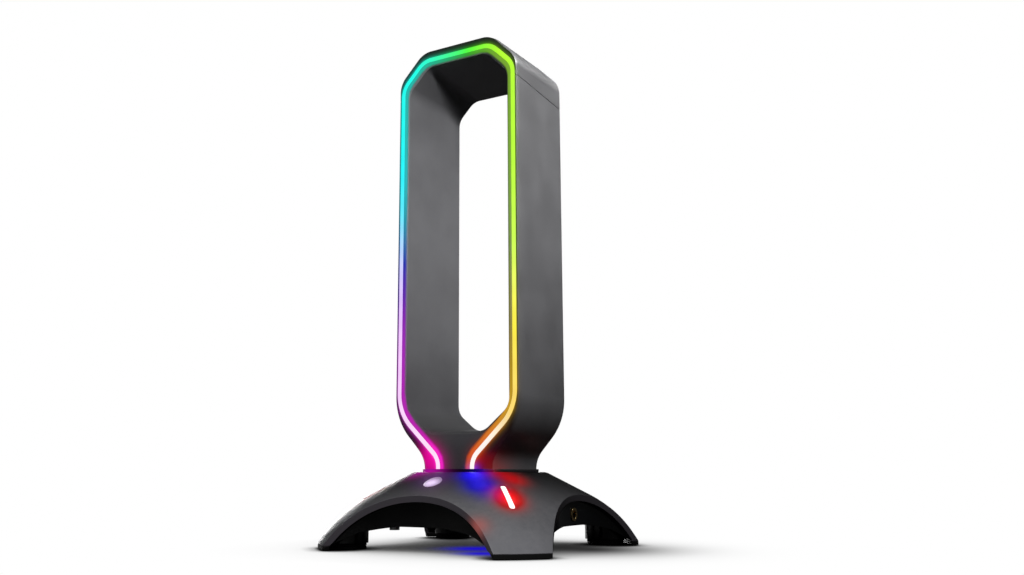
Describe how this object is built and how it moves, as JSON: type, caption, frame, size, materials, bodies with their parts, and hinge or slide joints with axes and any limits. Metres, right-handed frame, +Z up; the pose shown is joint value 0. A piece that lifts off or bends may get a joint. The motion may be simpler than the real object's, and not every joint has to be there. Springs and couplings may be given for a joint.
{
  "type": "headphone stand",
  "caption": "Headphone stand: a tall lit window frame on a four-legged domed base with a headphone socket and USB sockets.",
  "frame": {"origin": "on the floor under the centre of the base and column", "axes": "+Z up, -Y towards the lit front face, +X towards the side with the headphone socket"},
  "size_m": [0.1326, 0.1326, 0.263],
  "materials": {
    "satin_shell": "satin",
    "satin_base": "satin",
    "gloss_black": "gloss",
    "light_guide": "translucent",
    "slit_guide": "translucent",
    "foot_rubber": "matte",
    "circuit_board": "satin",
    "lamp": "gloss",
    "black_plastic": "satin",
    "bright_steel": "brushed",
    "dark_steel": "zinc plated",
    "gold_contact": "plated",
    "cord_black": "satin"
  },
  "bodies": {
    "root": {"column_outer_shell": "satin_shell", "column_top_cap": "satin_shell", "column_inner_liner": "satin_shell", "column_back_cover": "satin_shell", "column_light_guide": "light_guide", "column_light_strip": "circuit_board", "column_light_chips": "lamp", "column_light_harness": "cord_black", "neck_collar": "satin_base", "neck_bracket": "dark_steel", "neck_screws": "bright_steel", "base_top_cover": "satin_base", "base_bottom_tray": "gloss_black", "case_screws": "bright_steel", "touch_light_window": "slit_guide", "touch_sensor_board": "circuit_board", "ballast_plate": "dark_steel", "main_circuit_board": "circuit_board", "control_chip": "black_plastic", "harness_plug": "lamp", "filter_capacitor": "black_plastic", "headphone_jack": "black_plastic", "jack_sleeve": "gold_contact", "usb_shell_front": "bright_steel", "usb_shell_rear": "bright_steel", "usb_tongue_front": "black_plastic", "usb_tongue_rear": "black_plastic", "cable_gland": "foot_rubber", "foot_pad_front_right": "foot_rubber", "slit_light_front_right": "slit_guide", "slit_lamp_board_front_right": "circuit_board", "foot_pad_rear_right": "foot_rubber", "slit_light_rear_right": "slit_guide", "slit_lamp_board_rear_right": "circuit_board", "foot_pad_rear_left": "foot_rubber", "slit_light_rear_left": "slit_guide", "slit_lamp_board_rear_left": "circuit_board", "foot_pad_front_left": "foot_rubber", "slit_light_front_left": "slit_guide", "slit_lamp_board_front_left": "circuit_board"}
  },
  "joints": []
}
